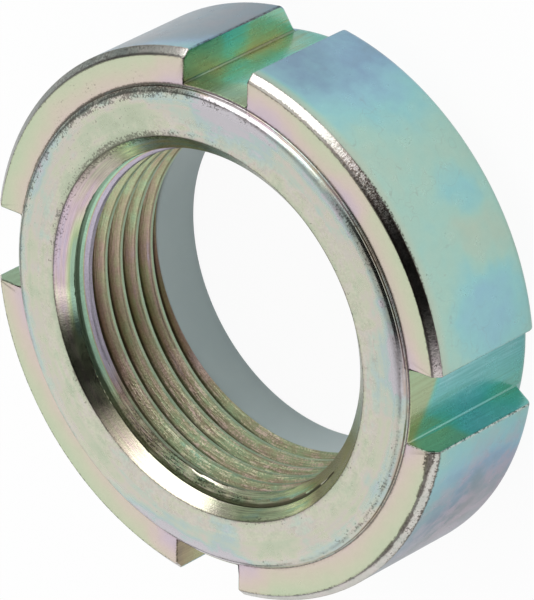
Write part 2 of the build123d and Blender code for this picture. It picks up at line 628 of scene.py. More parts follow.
    def _bore(self, ground: Ground, rough_zone: Signal, colour: Signal) -> Signal:
        """Colours the bore: painted glints on the rough thread, a burnt spot on the mouth, painted highlights
        along the crests and painted shade in the grooves.

        Args:
            ground: The place and the noises.
            rough_zone: 1 on the rough part of the thread.
            colour: The colour so far.

        Returns:
            The colour with the bore's own.
        """
        graph, rings, radius, turn = ground.graph, ground.rings, ground.radius, ground.turn
        thread = ground.on(Surface.THREAD)
        # Painted glints on the rough thread, cream and pink
        glints = (ground.grain * 0.35 + rings * 0.4 + ground.patchy * 0.25).smooth(0.51, 0.56) * rough_zone
        glint = graph.blend(ground.mottle.smooth(0.47, 0.53), self.cream_glint, self.pink_glint)
        colour = graph.blend(glints * 0.85, colour, glint)
        burnt = ground.on(Surface.MOUTH) * ground.felt(self.burnt)
        colour = graph.blend(burnt * (0.2 + rings * 0.5), colour, self.burnt_brown)
        first = ground.first_groove() * thread
        # Painted highlight along the lower edge of each crest
        crests = ground.crest_line() * thread * (1.0 - first)
        colour = graph.blend(crests * 0.45, colour, self.crest_highlight)
        # Painted shade deep in the grooves and along the first groove's edge under the mouth
        first_groove_edge_shade = (radius - turn * 0.96).smooth(12.19, 12.24) * (0.45 + turn.smooth(-0.1, 0.0) * 0.55)
        deep = (thread * radius.smooth(12.22, 12.36)).math("MAXIMUM", first * first_groove_edge_shade)
        return graph.blend(deep * 0.8, colour, self.groove_shade)

    def _outside(self, ground: Ground, colour: Signal) -> Signal:
        """Colours the outside: bronze under the shoulder, pink spots, rust on the chamfer and thin veins.

        Args:
            ground: The place and the noises.
            colour: The colour so far.

        Returns:
            The colour with the outside's own.
        """
        graph, cloud = ground.graph, ground.cloud
        low = ground.on(Surface.COLLAR_SIDE) * (1.0 - ground.height.smooth(12.72, 12.92))
        colour = graph.blend(low * (0.2 + ground.rings.smooth(0.5, 0.6) * 0.5), colour, self.bronze)
        spots = ground.on(Surface.RIM) * (cloud * 0.6 + ground.patchy * 0.4).smooth(0.42, 0.6)
        colour = graph.blend(spots * ground.felt(self.pink) * 0.65, colour, self.pink_spot)
        rusty = ground.on(Surface.CHAMFER) * ground.felt(self.rusty) * ground.grain.smooth(0.44, 0.56)
        colour = graph.blend(rusty * 0.75, colour, self.edge_brown)
        vein = (1.0 - cloud.off(0.52).smooth(0.0, 0.006)) * ground.broad.smooth(0.48, 0.56)
        return graph.blend(vein * ground.on(Surface.RIM, Surface.BEARING_FACE) * 0.22, colour, self.vein)

    def _edges(self, ground: Ground, colour: Signal) -> Signal:
        """Lays rough dark lines, brown haze, specks and burrs along the edges; the line in the collar's foot
        is painted shade, and the burrs are partly a painted highlight.

        Args:
            ground: The place and the noises.
            colour: The colour so far.

        Returns:
            The colour with its worn edges.
        """
        graph, patchy, grain, slot = ground.graph, ground.patchy, ground.grain, ground.slot_edge()
        uneven = (patchy - 0.5) * 0.3 + (grain - 0.5) * 0.4
        inner, outer, mouth, shoulder, foot = (ground.edge(edge) for edge in Edge)
        heavy = ground.felt(self.heavy_line) * patchy.smooth(0.42, 0.54)
        nick = ground.felt(self.nick) * grain.smooth(0.40, 0.52)
        wide = (inner - heavy - nick - ground.felt(self.bold_line)).math("MINIMUM", slot + 0.02)
        fuzz = ground.felt(*self.fuzzy) * grain.smooth(0.42, 0.56)
        # The line in the collar's foot, a crease, is painted shade
        thin = foot.math("MINIMUM", mouth).math("MINIMUM", outer + 0.03 - fuzz)
        line = 1.0 - (wide + uneven).smooth(0.03, 0.10)
        line = line.math("MAXIMUM", 1.0 - (thin + uneven * 0.5).smooth(0.0, 0.07))
        soft = wide.math("MINIMUM", thin).math("MINIMUM", shoulder)
        haze = (1.0 - (soft + uneven).smooth(0.0, 0.24)) * patchy.smooth(0.35, 0.65)
        # Grit hardly reaches these surfaces
        plain = ground.on(Surface.FRONT_FACE, Surface.RIM, Surface.SLOT_WALL)
        near = 1.0 - (soft * (1.0 + plain * 3.0)).smooth(0.30, 0.60)
        level = grain + (1.0 - soft.smooth(0.0, 0.22)) * 0.07 + (patchy - 0.5) * 0.35
        level = level + ground.felt(self.specked) + ground.felt(*self.grit) * near
        colour = graph.blend(haze * 0.4, colour, self.edge_brown)
        colour = graph.blend(level.smooth(0.69, 0.78) * 0.65, colour, self.speck_and_shade)
        colour = graph.blend(line * 0.7, colour, self.speck_and_shade)
        # Whitish burrs along the slot's edge, partly a painted highlight
        burrs = ground.felt(self.burred) * (1.0 - slot.smooth(0.05, 0.15)) * grain.smooth(0.42, 0.54)
        return graph.blend(burrs * 0.8, colour, self.burr_and_highlight)

    def material(self) -> bpy.types.Material:
        """Builds the finish.

        Returns:
            A material that picks each face's film by the number of its kind of surface.
        """
        made, graph = new_material(self.name)
        ground = Ground(graph)
        colour: Tint = self.bare
        roughness: Value = self.bare_roughness
        for film in self.films:
            mask = ground.on(*film.surfaces)
            thickness = self._thickness(ground, film)
            tint = graph.node("ShaderNodeValToRGB", {"stops": film.stops}, {0: thickness})
            colour = graph.blend(mask, colour, graph.out(tint))
            roughness = mask * film.roughness + (1 - mask) * roughness

        thread, height = ground.on(Surface.THREAD), ground.height
        rough_zone = ground.felt(self.rough_thread) * thread
        roughness = roughness - ground.on(Surface.COLLAR_SIDE) * ground.radius.smooth(15.5, 16.1) * 0.13
        roughness = roughness + rough_zone * 0.10 + (ground.patchy - 0.5) * 0.14
        colour = graph.vector("SCALE", {0: colour, "Scale": self._shade(ground, rough_zone)})
        rough_zone = rough_zone * (1.0 - height.smooth(10.4, 11.0) * 0.6)
        colour = self._bore(ground, rough_zone, colour)
        colour = self._outside(ground, colour)

        turned = ground.on(
            Surface.FRONT_FACE, Surface.CHAMFER, Surface.MOUTH, Surface.THREAD, Surface.BEARING_FACE)
        milled = ground.on(Surface.SLOT_WALL, Surface.SLOT_FLOOR)
        relief = ground.grain * (0.5 + thread * 1.2 + rough_zone * 7.0) + milled * ground.lines * 0.9
        relief = relief + (turned * 0.4 + thread + rough_zone * 4.0) * ground.rings
        relief = relief + ground.on(Surface.CHAMFER) * (ground.grain * 1.5 + ground.patchy * 2.5)
        graph.feed(made.node_tree.nodes["Principled BSDF"], {
            "Metallic": 1.0,
            "Base Color": self._edges(ground, colour),
            "Roughness": roughness,
            "Normal": graph.bump(relief, 0.010 * MM, 1.0),
        })
        return made


@dataclass(frozen=True)
class Polyamide:
    """Smooth blue-grey polyamide with a faint cloudiness."""

    name: str = "polyamide_finish"
    pale: Colour = srgb(198, 212, 213)
    deep: Colour = srgb(184, 200, 203)
    roughness: float = 0.32

    def material(self) -> bpy.types.Material:
        """Returns the finish as a material."""
        made, graph = new_material(self.name)
        place = graph.place()
        graph.feed(made.node_tree.nodes["Principled BSDF"], {
            "Base Color": graph.blend(graph.noise(place, 0.3), self.deep, self.pale),
            "Roughness": graph.noise(place, 1.5) * 0.12 + self.roughness - 0.06,
            "Normal": graph.bump(graph.noise(place, 4.0), 0.01 * MM, 0.3),
        })
        return made


def add_object(name: str, data: bpy.types.ID) -> bpy.types.Object:
    """Wraps a mesh, lamp or camera in an object of the scene.

    Args:
        name: The object's name.
        data: What it holds.

    Returns:
        The object, at the origin.
    """
    made = bpy.data.objects.new(name, data)
    bpy.context.scene.collection.objects.link(made)
    return made


def add_piece(
    name: str, work: bmesh.types.BMesh, material: bpy.types.Material, weight: int
) -> bpy.types.Object:
    """Turns a finished mesh into an object.

    Args:
        name: The piece's name.
        work: Its mesh, which is freed.
        material: Its finish.
        weight: How strongly large faces pull the normals, so that flat faces stay flat.

    Returns:
        The object, at the origin.
    """
    for face in work.faces:
        face.smooth = True
        face.material_index = 0
    made = bpy.data.meshes.new(name)
    work.to_mesh(made)
    work.free()
    made.materials.clear()
    made.materials.append(material)
    piece = add_object(name, made)
    weighted = piece.modifiers.new("flat_faces_stay_flat", "WEIGHTED_NORMAL")
    weighted.keep_sharp = True
    weighted.weight = weight
    return piece


@dataclass
class ThreadedBore:
    """The metric thread with its countersunk mouth, as one surface of a radius over angle and height."""

    major_radius: float = 12.5 * MM
    minor_radius: float = 11.688 * MM
    pitch: float = THREAD_PITCH * MM
    bottom: float = THREAD_FOOT * MM
    top: float = BEARING_TOP * MM
    mouth_radius: float = MOUTH_RADIUS * MM
    mouth_half_angle: float = 45.0
    start_turn: float = THREAD_START
    steps_around: int = 360
    rows_per_pitch: int = 32
    merge_distance: float = 0.001 * MM

    def _sizes(self, material: bpy.types.Material) -> dict[str, int | float | bpy.types.Material]:
        """Works out what the tree needs.

        Args:
            material: The thread's finish.

        Returns:
            A value for each of the tree's inputs, by name.
        """
        pitches = math.ceil((self.top - self.bottom) / self.pitch) + 1
        return {
            "Around": self.steps_around + 1,
            "Rows": pitches * self.rows_per_pitch + 1,
            "Pitch": self.pitch,
            "Major Radius": self.major_radius,
            "Minor Radius": self.minor_radius,
            "Bottom": self.bottom,
            "Top": self.top,
            "Mouth Radius": self.mouth_radius,
            "Mouth Slope": math.tan(math.radians(self.mouth_half_angle)),
            "Start Turn": self.start_turn,
            "Row Height": self.pitch / self.rows_per_pitch,
            "Height": pitches * self.pitch,
            "Merge Distance": self.merge_distance,
            "Material": material,
        }

    def _tree(self, sizes: dict[str, int | float | bpy.types.Material]) -> bpy.types.GeometryNodeTree:
        """Builds the node tree that bends a grid into the thread.

        Args:
            sizes: A value for each of its inputs, by name.

        Returns:
            The tree, with the bore's sizes as its named inputs.
        """
        tree = bpy.data.node_groups.new("thread_by_angle_and_height", "GeometryNodeTree")
        tree.interface.new_socket("Geometry", in_out="OUTPUT", socket_type="NodeSocketGeometry")
        for name, value in sizes.items():
            what = {int: "Int", float: "Float"}.get(type(value), "Material")
            tree.interface.new_socket(name, in_out="INPUT", socket_type="NodeSocket" + what)
        graph = Graph(tree)
        given = graph.node("NodeGroupInput")
        size = {socket.name: graph.out(given, socket.name) for socket in given.outputs if socket.name}

        inputs = {"Size X": 1.0, "Size Y": 1.0, "Vertices X": size["Around"], "Vertices Y": size["Rows"]}
        grid = graph.node("GeometryNodeMeshGrid", None, inputs)
        position = graph.out(graph.node("GeometryNodeInputPosition"))
        corner = graph.node("ShaderNodeSeparateXYZ", None, {0: position})
        turn = graph.out(corner, "X") + 0.5
        climb = size["Pitch"] * turn
        raw = size["Bottom"] - size["Pitch"] + (graph.out(corner, "Y") + 0.5) * size["Height"] + climb
        level = raw.math("MAXIMUM", size["Bottom"]).math("MINIMUM", size["Top"])

        def mouth(height: Signal) -> Signal:
            """Radius of the countersink at a height."""
            return size["Mouth Radius"] - (size["Top"] - height) * size["Mouth Slope"]

        def cut(height: Signal) -> Signal:
            """Finds the bare thread's radius.

            Args:
                height: The height.

            Returns:
                The radius, with the thread's corners eased over one row.
            """
            radii = [
                self._profile(size, height + size["Row Height"] * k - size["Bottom"] - climb)
                for k in (-1, 0, 1)
            ]
            return (radii[0] + radii[1] * 2.0 + radii[2]) * 0.25

        half_row = size["Row Height"] * 0.5
        slope = (cut(level + half_row) - cut(level - half_row)) / size["Row Height"]
        excess = cut(level) - mouth(level)
        shift = excess / (size["Mouth Slope"] - slope + 0.0001)
        inside = (level < size["Top"] - size["Row Height"]) * (shift.off(0.0) < half_row)
        level = level + shift * inside
        radius = cut(level).math("MAXIMUM", mouth(level))
        angle = turn * math.tau
        inputs = {"X": radius * angle.math("COSINE"), "Y": radius * angle.math("SINE"), "Z": level}
        place = graph.out(graph.node("ShaderNodeCombineXYZ", None, inputs))

        on_mouth = mouth(level) > cut(level)
        kind = on_mouth * (Surface.MOUTH.value - Surface.THREAD.value) + Surface.THREAD.value
        faces = {"data_type": "FLOAT", "domain": "FACE"}
        flow = graph.out(grid, "Mesh")
        for step, settings, inputs in (
            ("StoreNamedAttribute", faces, {"Name": "surface", "Value": kind}),
            ("SetPosition", None, {"Position": place}),
            ("MergeByDistance", None, {"Distance": size["Merge Distance"]}),
            ("RealizeInstances", None, {}),
            ("SetMaterial", None, {"Material": size["Material"]}),
        ):
            flow = graph.out(graph.node("GeometryNode" + step, settings, {"Geometry": flow, **inputs}))
        graph.node("NodeGroupOutput", None, {"Geometry": flow})
        return tree

    @staticmethod
    def _profile(size: dict[str, Signal], height: Signal) -> Signal:
        """Radius of the sharp thread profile.

        Args:
            size: The tree's inputs by name.
            height: Height above the start of the turn.

        Returns:
            The crest radius over a quarter of the pitch, the root radius over an eighth, and the flanks
            between.
        """
        crest_share, flank_angle = 0.125, 60
        phase = (height / size["Pitch"] + size["Start Turn"]).math("FRACT")
        rise = (phase.off(0.5) - crest_share).math("MAXIMUM", 0.0)
        rise = rise * size["Pitch"] * math.tan(math.radians(flank_angle))
        return size["Minor Radius"] + rise.math("MINIMUM", size["Major Radius"] - size["Minor Radius"])

    def mesh(self, material: bpy.types.Material) -> bpy.types.Mesh:
        """Evaluates the tree.

        Args:
            material: The finish of the thread.

        Returns:
            The bore's surface, open at the mouth's circle and at the ring's seat.
        """
        sizes = self._sizes(material)
        holder = add_object("thread_grid", bpy.data.meshes.new("thread_grid"))
        modifier = holder.modifiers.new("thread", "NODES")
        modifier.node_group = self._tree(sizes)
        for item in modifier.node_group.interface.items_tree:
            if item.in_out == "INPUT":
                modifier[item.identifier] = sizes[item.name]
        evaluated = holder.evaluated_get(bpy.context.evaluated_depsgraph_get())
        made = bpy.data.meshes.new_from_object(evaluated)
        holder.modifiers.remove(modifier)
        bpy.data.objects.remove(holder)
        return made


@dataclass
class SlottedOutline:
    """Plan of the rim: teeth between slots with parallel walls, rounded corners and a concentric floor."""

    slot_count: int = 4
    slot_width: float = SLOT_WIDTH * MM
    floor_radius: float = 16.7 * MM
    floor_round: float = 0.15 * MM
    corner_round: float = 0.12 * MM
    tip_steps: int = 20
    wall_steps: int = 6
    round_steps: int = 4
    fillet_steps: int = 5
    floor_steps: int = 5
    # How far above the floor the plan gives circles the angles of their points
    key_depth: float = 2.0 * MM
    # Angles in degrees over which a circle spreads the points of a slot's wall
    narrow_span: float = 0.3
    wide_span: float = 3.0

    def _half(self, tip_radius: float, ease: float) -> Profile:
        """Lists the plan from the middle of a slot to the middle of a tooth.

        Args:
            tip_radius: Radius of the tooth's outside at this level.
            ease: How far the slot's walls stand back at this level.

        Returns:
            The points, with the slot's middle on the X axis.
        """
        wall = self.slot_width / 2 + ease
        floor, fillet, corner = self.floor_radius - ease, self.floor_round, self.corner_round
        foot = math.asin((wall - fillet) / (floor + fillet))
        foot_x = (floor + fillet) * math.cos(foot)
        edge_x = math.sqrt((tip_radius - corner) ** 2 - (wall + corner) ** 2)
        edge = math.atan2(wall + corner, edge_x)
        points = arc((0, 0), floor, 0, math.degrees(foot), self.floor_steps)
        points += arc((foot_x, wall - fillet), fillet, math.degrees(foot) + 180, 90, self.fillet_steps)[1:]
        step = (edge_x - foot_x) / self.wall_steps
        points += [(foot_x + step * i, wall) for i in range(1, self.wall_steps + 1)]
        points += arc((edge_x, wall + corner), corner, -90, math.degrees(edge), self.round_steps)[1:]
        return points + arc((0, 0), tip_radius, math.degrees(edge), 180 / self.slot_count, self.tip_steps)[1:]

    def _half_keys(self, span: float) -> list[float]:
        """Lists the angles at which a circle takes up the points of the half plan.

        Args:
            span: Angle in degrees over which the wall's points are spread.

        Returns:
            The angles, always rising, from the middle of a slot to the middle of a tooth.
        """
        half = self._half(self.floor_radius + self.key_depth, 0.0)
        inner = self.floor_steps + self.fillet_steps
        keys = [math.atan2(y, x) for x, y in half[: inner + 1]]
        walls = self.wall_steps + self.round_steps
        keys += [keys[inner] + math.radians(span) * i / walls for i in range(1, walls + 1)]
        last, middle = keys[-1], math.pi / self.slot_count
        return keys + [last + (middle - last) * i / self.tip_steps for i in range(1, self.tip_steps + 1)]

    def _all_round(self, half: Profile, level: float) -> list[Vector]:
        """Mirrors a half plan and repeats it round the axis at a level.

        Args:
            half: The half plan.
            level: Its height.

        Returns:
            The points of the whole plan.
        """
        quarter = [(x, -y) for x, y in half[:0:-1]] + half[:-1]
        points = []
        for slot in range(self.slot_count):
            turn = Matrix.Rotation(math.tau * slot / self.slot_count, 3, "Z")
            points += [turn @ Vector((x, y, level)) for x, y in quarter]
        return points

    def ring(self, level: float, tip_radius: float, ease: float) -> list[Vector]:
        """The whole plan at a level."""
        return self._all_round(self._half(tip_radius, ease), level)

    def circle(self, level: float, radius: float, span: float) -> list[Vector]:
        """A circle with as many points as the plan, each facing the plan's own."""
        keys = self._half_keys(span)
        return self._all_round([(radius * math.cos(a), radius * math.sin(a)) for a in keys], level)

    def keys(self) -> list[float]:
        """Repeats the half plan's angles all round.

        Returns:
            The rising angles of the whole plan's points.
        """
        half = self._half_keys(self.wide_span)
        quarter = [-a for a in half[:0:-1]] + half[:-1]
        return [a + math.tau * slot / self.slot_count for slot in range(self.slot_count) for a in quarter]

    def kinds(self) -> list[Surface]:
        """Lists the kinds of surface round the whole plan.

        Returns:
            The kind on the chord after each point.
        """
        half = [Surface.SLOT_FLOOR] * (self.floor_steps + self.fillet_steps)
        half += [Surface.SLOT_WALL] * self.wall_steps + [Surface.RIM] * (self.round_steps + self.tip_steps)
        return (half[::-1] + half) * self.slot_count


@dataclass
class NutBody:
    """The steel body, closed all round: toothed rim, bearing collar, rolled collar, pocket and thread."""

    outline: SlottedOutline = field(default_factory=SlottedOutline)
    bore: ThreadedBore = field(default_factory=ThreadedBore)
    outer_radius: float = OUTER_RADIUS * MM
    front_chamfer: float = 0.5 * MM
    edge_ease: float = 0.06 * MM
    # Depths of the rim's rings below the front face, in millimetres
    rim_steps: tuple[float, ...] = (
        0.0, 0.012, 0.035, 0.06, 0.10, 0.2, 0.33, 0.44, 0.485, 0.515, 0.56, 0.7, 1.0, 2.0, 4.0, 6.5, 8.2,
    )
    bearing_radius: float = 16.47 * MM
    # Tilt in degrees and length in millimetres of each step over the shoulder
    bearing_shoulder: tuple[tuple[float, float], ...] = (
        (88.0, 0.35), (84.0, 0.20), (76.0, 0.08), (64.0, 0.05), (54.0, 0.08),
        (49.0, 0.14), (44.0, 0.06), (32.0, 0.03), (16.0, 0.03),
    )
    bearing_foot: float = 0.10 * MM
    bearing_rows: tuple[float, ...] = (13.2 * MM, 13.55 * MM, 14.6 * MM)
    narrow_strip: float = 0.02 * MM
    bearing_top: float = BEARING_TOP * MM
    front_face: float = FRONT_FACE * MM
    back_edge: float = 2.78 * MM
    back_edge_round: float = 0.8 * MM
    back_edge_steps: int = 6
    slope_steps: int = 3
    last_tip: float = 17.05 * MM
    rolled_height: float = 1.45 * MM
    rolled_round: float = 1.4 * MM
    rolled_wall: float = 0.9 * MM
    lip_radius: float = 14.0 * MM
    lip_round: float = 0.3 * MM
    merge_distance: float = 0.0008 * MM
    smooth_angle: float = 26.0
    normal_weight: int = 80

    def _slope(self) -> float:
        """Angle at which the teeth's backs rise from the rolled collar to the rim."""
        return math.atan2(self.back_edge - self.rolled_height, self.outer_radius - self.outline.floor_radius)

    def _back_bend(self) -> tuple[float, float]:
        """Levels at which the rim's back edge starts to bend and meets the sloped back."""
        start = self.back_edge + self.back_edge_round * math.tan(self._slope())
        return start, start - self.back_edge_round * math.cos(self._slope())

    def _tip(self, level: float) -> float:
        """Finds how far out a tooth reaches at a level.

        Args:
            level: The height.

        Returns:
            The radius on the front chamfer, rim, rounded back edge or sloped back.
        """
        bend_start, bend_end = self._back_bend()
        if level < bend_end:
            return self.outline.floor_radius + (level - self.rolled_height) / math.tan(self._slope())
        drop = max(bend_start - level, 0.0)
        bend = self.back_edge_round - math.sqrt(self.back_edge_round**2 - drop**2)
        front = self.front_chamfer - (self.front_face - level)
        return self.outer_radius - max(front, bend, 0.0)

    def _rim_levels(self) -> list[float]:
        """Lists the levels of the rim's rings.

        Returns:
            The levels from the front face to the sloped back, close together at the edges.
        """
        levels = [self.front_face - step * MM for step in self.rim_steps]
        bend_start, bend_end = self._back_bend()
        reach = math.pi / 2 - self._slope()
        steps = self.back_edge_steps
        bend = [bend_start - self.back_edge_round * math.sin(reach * i / steps) for i in range(steps)]
        last = self.rolled_height + (self.last_tip - self.outline.floor_radius) * math.tan(self._slope())
        steps = self.slope_steps
        return levels + bend + [bend_end + (last - bend_end) * i / steps for i in range(steps + 1)]

    def _ease(self, level: float) -> float:
        """How far the slot's walls stand back near the front face, as a small round."""
        depth = min(self.front_face - level, self.edge_ease)
        return self.edge_ease - math.sqrt(max(self.edge_ease**2 - (self.edge_ease - depth) ** 2, 0.0))

    def _kind(self, level: float, what: Surface) -> Surface:
        """Finds a strip's kind of surface.

        Args:
            level: The strip's lower edge.
            what: What the plan has there.

        Returns:
            The kind, with the chamfer and the back told apart.
        """
        if what is Surface.RIM and self.front_face - level < self.front_chamfer + self.narrow_strip:
            return Surface.CHAMFER
        if what is Surface.SLOT_FLOOR and self.rolled_height / 2 < level:
            return Surface.SLOT_FLOOR
        back = level < self.rolled_height or (what is Surface.RIM and level < self.back_edge)
        return Surface.BACK if back else what

    def _collar_section(self) -> list[tuple[float, float, Surface]]:
        """Half section of the bearing collar, from the mouth out to its foot on the front face.

        Returns:
            Radius, height and kind of surface of each point. The shoulder is walked in short steps, each with
            its own tilt and length, and ends at the collar's side.
        """
        top, side = self.bearing_top, self.bearing_radius
        shoulder = [(side, top)]
        for tilt, length in self.bearing_shoulder:
            radius, level = shoulder[-1]
            turn = math.radians(tilt)
            shoulder.append((radius + length * MM * math.sin(turn), level - length * MM * math.cos(turn)))
        spread = shoulder[-1][0] - side
        shoulder = [(radius - spread, level) for radius, level in shoulder]
        bend = self.bearing_foot
        foot = arc((side + bend, self.front_face + bend), bend, 180, 270, 5)
        foot.append((side + bend + self.narrow_strip, self.front_face))
        return ([(radius, top, Surface.BEARING_FACE) for radius in self.bearing_rows]
                + [(radius, level, Surface.COLLAR_SIDE) for radius, level in shoulder + foot])

    def _back_section(self) -> Profile:
        """Draws the half section of the rolled collar, its lip and the pocket.

        Returns:
            Its points, from the foot of the slots round the collar and lip to the thread's foot.
        """
        side, wall, bend = self.outline.floor_radius, self.rolled_wall, self.rolled_round
        lip, ease = self.lip_radius, self.lip_round
        points = [(side, self.rolled_height)]
        points += arc((side - bend, bend), bend, 0, -90, 10)
        points += arc((lip + ease, ease), ease, 270, 180, 4)
        points += arc((lip + ease, wall - ease), ease, 180, 90, 4)
        points += arc((side - bend, bend), bend - wall, -90, 0, 6)
        points += [(side - wall, 0.5 * (bend + self.bore.bottom)), (side - wall, self.bore.bottom)]
        return points

    def build(self, material: bpy.types.Material) -> bpy.types.Object:
        """Builds the body.

        Args:
            material: Its finish.

        Returns:
            The finished object, at the origin.
        """
        work = bmesh.new()
        bore = self.bore.mesh(material)
        work.from_mesh(bore)
        bpy.data.meshes.remove(bore)
        kind = work.faces.layers.float.get("surface")
        seat = sorted((v for v in work.verts if v.is_boundary and v.co.z < self.front_face / 2),
                      key=lambda v: math.atan2(v.co.y, v.co.x) % math.tau)

        def add(points: list[Vector]) -> list[bmesh.types.BMVert]:
            """Adds a ring of vertices."""
            return [work.verts.new(p) for p in points]

        def loft(first: list, second: list, kinds: list[Surface]) -> None:
            """Joins two rings of equal counts by a strip of faces.

            Args:
                first: One ring.
                second: The next one.
                kinds: The kind of surface of each face.
            """
            count = len(first)
            for i in range(count):
                j = (i + 1) % count
                work.faces.new((first[i], first[j], second[j], second[i]))[kind] = kinds[i].value

        def zip_up(first: list, first_keys: list[float], second: list, second_keys: list[float],
                   what: Surface) -> None:
            """Joins two rings of different counts by a strip of triangles.

            Args:
                first: One ring.
                first_keys: The rising angles of its points.
                second: The other ring.
                second_keys: The rising angles of its points.
                what: The strip's kind of surface.
            """
            first_keys = [*first_keys, first_keys[0] + math.tau]
            second_keys = [*second_keys, second_keys[0] + math.tau]
            first, second = [*first, first[0]], [*second, second[0]]
            i = j = 0
            while i + 1 < len(first) or j + 1 < len(second):
                first_is_next = i + 1 < len(first) and (
                    j + 1 == len(second) or first_keys[i + 1] <= second_keys[j + 1])
                following = first[i + 1] if first_is_next else second[j + 1]
                work.faces.new((first[i], following, second[j]))[kind] = what.value
                i, j = i + first_is_next, j + (not first_is_next)

        count = self.bore.steps_around
        turns = [math.tau * i / count for i in range(count)]
        previous = None
        for radius, level, what in self._collar_section():
            ring = add([Vector((radius * math.cos(a), radius * math.sin(a), level)) for a in turns])
            if previous:
                loft(previous, ring, [what] * count)
            previous = ring
        foot_ring = previous

        keys, kinds = self.outline.keys(), self.outline.kinds()
        outer = previous = None
        for level in self._rim_levels():
            ring = add(self.outline.ring(level, self._tip(level), self._ease(level)))
            if previous:
                loft(previous, ring, [self._kind(level, what) for what in kinds])
            outer = outer or ring
            previous = ring
        start = min(range(count), key=lambda i: (turns[i] - keys[0]) % math.tau)
        foot_keys = [keys[0] + (turns[(start + i) % count] - keys[0]) % math.tau for i in range(count)]
        zip_up(foot_ring[start:] + foot_ring[:start], foot_keys, outer, keys, Surface.FRONT_FACE)

        for number, (radius, level) in enumerate(self._back_section()):
            span = self.outline.narrow_span if number == 0 else self.outline.wide_span
            ring = add(self.outline.circle(level, radius, span))
            loft(previous, ring, [self._kind(level, what) for what in kinds])
            previous = ring
        seat_turns = [math.atan2(v.co.y, v.co.x) for v in seat]
        order = sorted(range(len(seat)), key=lambda i: (seat_turns[i] - keys[0]) % math.tau)
        zip_up([seat[i] for i in order], [keys[0] + (seat_turns[i] - keys[0]) % math.tau for i in order],
               previous, keys, Surface.BACK)
        return self._finish(work, material)

    def _finish(self, work: bmesh.types.BMesh, material: bpy.types.Material) -> bpy.types.Object:
        """Closes the mesh, marks its sharp edges and wraps it in an object.

        Args:
            work: The mesh, whose strips still lie side by side.
            material: The body's finish.

        Returns:
            The object, at the origin.
        """
        bmesh.ops.remove_doubles(work, verts=work.verts, dist=self.merge_distance)
        bmesh.ops.dissolve_degenerate(work, edges=work.edges, dist=self.merge_distance / 2)
        bmesh.ops.recalc_face_normals(work, faces=work.faces)
        kind = work.faces.layers.float.get("surface")
        limit = math.radians(self.smooth_angle)
        open_edges = 0
        for line in work.edges:
            open_edges += not line.is_manifold
            if len(line.link_faces) == 2:
                both_thread = all(abs(face[kind] - Surface.THREAD.value) < 0.5 for face in line.link_faces)
                line.smooth = both_thread or line.calc_face_angle(0.0) < limit
        log.info("nut_body: %d faces, %d open edges, volume %.1f mm3", len(work.faces), open_edges,
                 work.calc_volume(signed=True) / MM**3)
        return add_piece("plated_nut_body", work, material, self.normal_weight)


@dataclass
class LockingRing:
    """The polyamide ring, turned, with its small edges rounded."""

    bore_radius: float = 12.0 * MM
    back: float = 0.27 * MM
    front: float = 3.97 * MM
    wall_radius: float = 15.75 * MM
    corner_round: float = 0.45 * MM
    shoulder: float = 0.95 * MM
    neck_radius: float = 13.95 * MM
    edge_round: float = 0.18 * MM
    front_middle: float = 13.5 * MM
    bore_rows: tuple[float, ...] = (1.5 * MM, 2.7 * MM)
    steps_around: int = 240
    smooth_angle: float = 35.0
    normal_weight: int = 50

    def section(self) -> Profile:
        """Draws the ring's half section.

        Returns:
            Its points, once round.
        """
        small, large = self.edge_round, self.corner_round
        return (
            arc((self.bore_radius + small, self.front - small), small, 180, 90, 4)
            + [(self.front_middle, self.front)]
            + arc((self.wall_radius - small, self.front - small), small, 90, 0, 3)
            + arc((self.wall_radius - large, self.shoulder + large), large, 0, -90, 6)
            + [(self.neck_radius, self.shoulder)]
            + arc((self.neck_radius - small, self.back + small), small, 0, -90, 4)
            + arc((self.bore_radius + small, self.back + small), small, 270, 180, 4)
            + [(self.bore_radius, level) for level in self.bore_rows]
        )

    def build(self, material: bpy.types.Material) -> bpy.types.Object:
        """Builds the ring.

        Args:
            material: Its finish.

        Returns:
            The finished object, at the origin.
        """
        work = bmesh.new()
        section = self.section()
        rings = []
        for step in range(self.steps_around):
            turn = math.tau * step / self.steps_around
            rings.append([work.verts.new((r * math.cos(turn), r * math.sin(turn), z)) for r, z in section])
        for step, ring in enumerate(rings):
            following = rings[(step + 1) % self.steps_around]
            for i in range(len(section)):
                j = (i + 1) % len(section)
                work.faces.new((ring[i], following[i], following[j], ring[j]))
        bmesh.ops.recalc_face_normals(work, faces=work.faces)
        piece = add_piece("polyamide_locking_ring", work, material, self.normal_weight)
        piece.data.set_sharp_from_angle(angle=math.radians(self.smooth_angle))
        return piece


@dataclass(frozen=True)
class Card:
    """A soft light or a dark flag beside the nut, seen only in its reflections, in degrees and metres."""

    name: str
    azimuth: float
    elevation: float
    distance: float
    width: float
    height: float
    level: float


def add_sheet(name: str, width: float, height: float, material: bpy.types.Material) -> bpy.types.Object:
    """Adds a flat rectangle round its origin, for the floor or a card.

    Args:
        name: Its name.
        width: Its side along X.
        height: Its side along Y.
        material: Its finish.

    Returns:
        The rectangle's object.
    """
    x, y = width / 2, height / 2
    made = bpy.data.meshes.new(name)
    made.from_pydata([(-x, -y, 0), (x, -y, 0), (x, y, 0), (-x, y, 0)], [], [(0, 1, 2, 3)])
    made.materials.append(material)
    return add_object(name, made)


